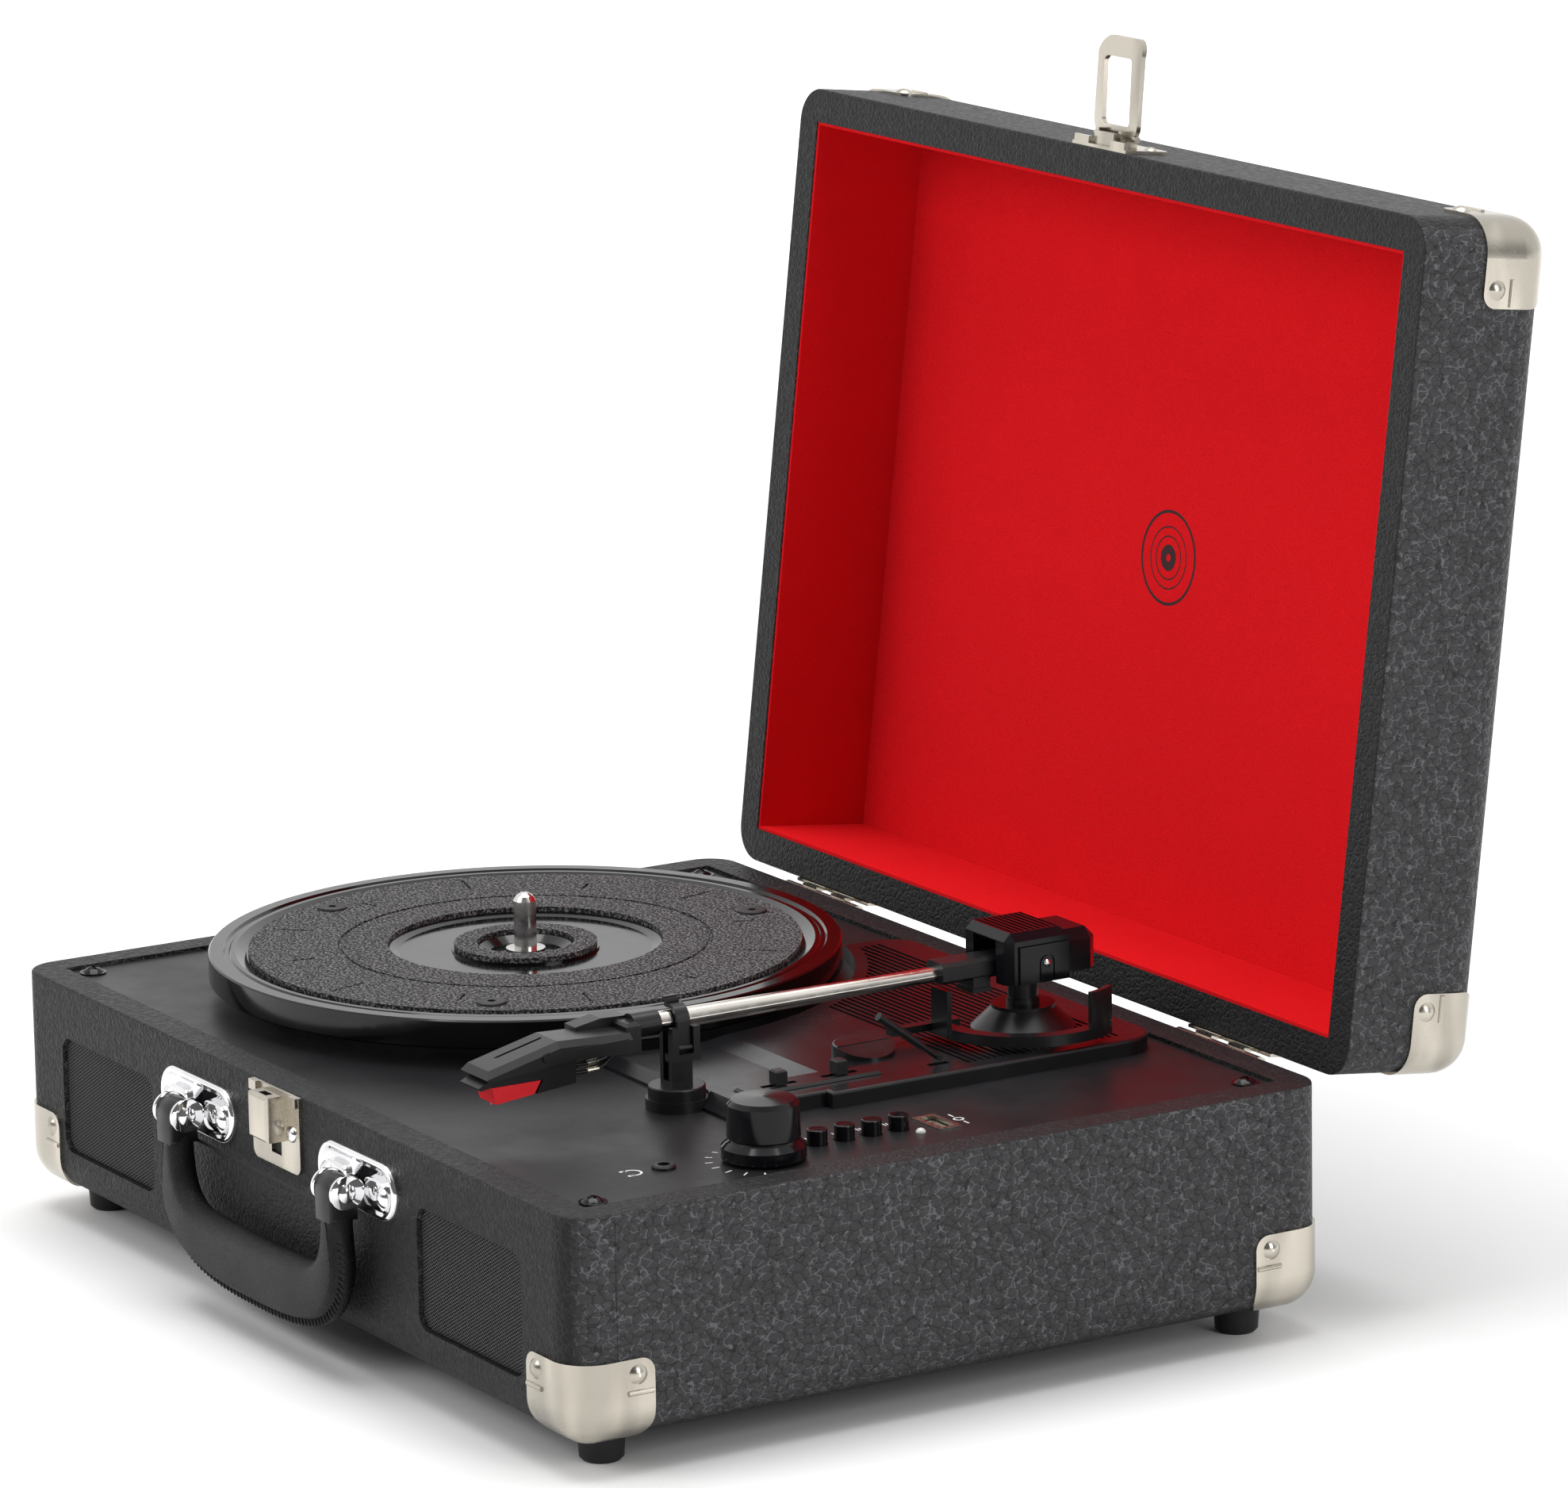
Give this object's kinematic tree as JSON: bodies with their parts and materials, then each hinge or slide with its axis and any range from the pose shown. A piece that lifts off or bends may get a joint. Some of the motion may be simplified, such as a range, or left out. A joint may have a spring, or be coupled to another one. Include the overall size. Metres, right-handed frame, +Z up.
{
  "type": "suitcase record player",
  "caption": "Portable record player in a vinyl-covered suitcase with a red-lined lid, belt-driven platter, straight tonearm, front speakers, carrying handle and a draw latch.",
  "frame": {"origin": "on the floor, under the middle of the whole player's bounding box with its lid open", "axes": "+Z up along the record spindle, +Y from the handle side to the hinges, +X to the right as seen from the handle side"},
  "size_m": [0.3562, 0.3575, 0.3675],
  "materials": {
    "vinyl_cloth": "pebble-grained black vinyl covering",
    "red_lining": "red flocked paper lining",
    "nickel": "nickel plate, lightly brushed",
    "chrome": "bright plate",
    "steel": "plain steel",
    "rubber_black": "moulded rubber",
    "mesh_cloth": "black speaker cloth",
    "driver": "paper cone and steel frame",
    "deck": "fine textured black plastic",
    "gloss_black": "glossy black plastic",
    "matte_black": "satin black plastic",
    "mat_felt": "speckled dark grey slip mat",
    "platter_black": "black coated platter",
    "spindle_steel": "polished steel",
    "bush_brass": "plain bearing",
    "tube_alloy": "brushed tube",
    "stylus_red": "red clear plastic",
    "lamp": "clear lens",
    "circuit": "green circuit board",
    "handle_cloth": "black vinyl over a padded core",
    "belt": "flat rubber belt"
  },
  "bodies": {
    "base": {"base_case": "vinyl_cloth", "base_corners": "nickel", "base_corner_rivets": "nickel", "feet": "rubber_black", "foot_screws": "steel", "hinge_leaves_base": "nickel", "hinge_pins": "steel", "latch_catch": "nickel", "handle_brackets": "chrome", "handle_pins": "chrome", "bracket_screws": "chrome", "speaker_grilles": "mesh_cloth", "speaker_drivers": "driver", "power_inlet": "matte_black", "line_out_sockets": "matte_black", "deck_plate": "deck", "deck_screws": "steel", "spindle_bush": "bush_brass", "motor": "steel", "drive_belt": "belt", "console": "gloss_black", "tonearm_rest": "matte_black", "pivot_post": "matte_black", "potentiometer": "steel", "usb_socket": "steel", "headphone_socket": "matte_black", "status_light": "lamp", "circuit_board": "circuit"},
    "lid": {"lid_case": "vinyl_cloth", "lid_lining": "red_lining", "lid_corners": "nickel", "lid_corner_rivets": "nickel", "hinge_leaves_lid": "nickel", "latch_plate": "nickel"},
    "latch": {"latch_loop": "nickel"},
    "grip": {"handle_grip": "handle_cloth"},
    "turntable": {"platter": "platter_black", "platter_mat": "mat_felt", "platter_caps": "rubber_black", "spindle": "spindle_steel"},
    "pulley": {"motor_pulley": "bush_brass"},
    "clip": {"rest_clip": "matte_black"},
    "arm_carrier": {"tonearm_housing": "gloss_black"},
    "arm": {"tonearm_tube": "tube_alloy", "tonearm_neck": "matte_black", "counterweight": "gloss_black", "headshell": "matte_black", "cartridge": "matte_black", "stylus": "stylus_red"},
    "cue_handle": {"cue_lever": "matte_black"},
    "cue_lift": {"cue_platform": "gloss_black"},
    "knob": {"volume_knob": "gloss_black"},
    "key_1": {"button_1": "gloss_black"},
    "key_2": {"button_2": "gloss_black"},
    "key_3": {"button_3": "gloss_black"},
    "key_4": {"button_4": "gloss_black"},
    "speed_slide": {"speed_switch": "gloss_black"},
    "stop_slide": {"autostop_switch": "gloss_black"}
  },
  "joints": [
    {"name": "lid_hinge", "type": "hinge", "parent": "base", "child": "lid", "pos_m": [0, 0.0953, 0.0743], "axis": [1, 0, 0], "range_deg": [0, 96.8]},
    {"name": "latch_swing", "type": "hinge", "parent": "lid", "child": "latch", "pos_m": [0, 0.1372, 0.33618], "axis": [1, 0, 0], "range_deg": [-35, 86]},
    {"name": "handle_swing", "type": "hinge", "parent": "base", "child": "grip", "pos_m": [0, -0.174, 0.0594], "axis": [1, 0, 0], "range_deg": [-95, 0]},
    {"name": "platter_spin", "type": "hinge", "parent": "base", "child": "turntable", "pos_m": [-0.0648, -0.0441, 0.09], "axis": [0, 0, 1], "continuous": true},
    {"name": "pulley_spin", "type": "hinge", "parent": "base", "child": "pulley", "pos_m": [-0.12137, -0.10067, 0.08], "axis": [0, 0, 1], "continuous": true},
    {"name": "tonearm_swing", "type": "hinge", "parent": "base", "child": "arm_carrier", "pos_m": [0.084, 0.0448, 0.1], "axis": [0, 0, 1], "range_deg": [-42, 0]},
    {"name": "tonearm_lift", "type": "hinge", "parent": "arm_carrier", "child": "arm", "pos_m": [0.084, 0.0448, 0.105], "axis": [1, 0, 0], "range_deg": [-3.6, 0]},
    {"name": "rest_clip_swing", "type": "hinge", "parent": "base", "child": "clip", "pos_m": [0.089, -0.0769, 0.0954], "axis": [0, 1, 0], "range_deg": [0, 70]},
    {"name": "cue_lever_tilt", "type": "hinge", "parent": "base", "child": "cue_handle", "pos_m": [0.103, 0.0023, 0.0834], "axis": [1, 0, 0], "range_deg": [0, 30]},
    {"name": "cue_lift_slide", "type": "slide", "parent": "base", "child": "cue_lift", "axis": [0, 0, -1], "range_m": [0, 0.0015]},
    {"name": "volume_turn", "type": "hinge", "parent": "base", "child": "knob", "pos_m": [0.1475, -0.0852, 0.085], "axis": [0, 0, 1], "range_deg": [-140, 140]},
    {"name": "button_1_press", "type": "slide", "parent": "base", "child": "key_1", "axis": [0, 0, -1], "range_m": [0, 0.0015], "stiffness_N_per_m": 300},
    {"name": "button_2_press", "type": "slide", "parent": "base", "child": "key_2", "axis": [0, 0, -1], "range_m": [0, 0.0015], "stiffness_N_per_m": 300},
    {"name": "button_3_press", "type": "slide", "parent": "base", "child": "key_3", "axis": [0, 0, -1], "range_m": [0, 0.0015], "stiffness_N_per_m": 300},
    {"name": "button_4_press", "type": "slide", "parent": "base", "child": "key_4", "axis": [0, 0, -1], "range_m": [0, 0.0015], "stiffness_N_per_m": 300},
    {"name": "speed_slide_move", "type": "slide", "parent": "base", "child": "speed_slide", "axis": [0, 1, 0], "range_m": [-0.004, 0.004]},
    {"name": "autostop_slide_move", "type": "slide", "parent": "base", "child": "stop_slide", "axis": [0, 1, 0], "range_m": [0, 0.004]}
  ],
  "couplings": [
    {"joint": "pulley_spin", "follows": "platter_spin", "ratio": 12.1},
    {"joint": "tonearm_lift", "follows": "tonearm_swing", "ratio": 0.08},
    {"joint": "cue_lever_tilt", "follows": "cue_lift_slide", "rad_per_m": 349.06}
  ]
}
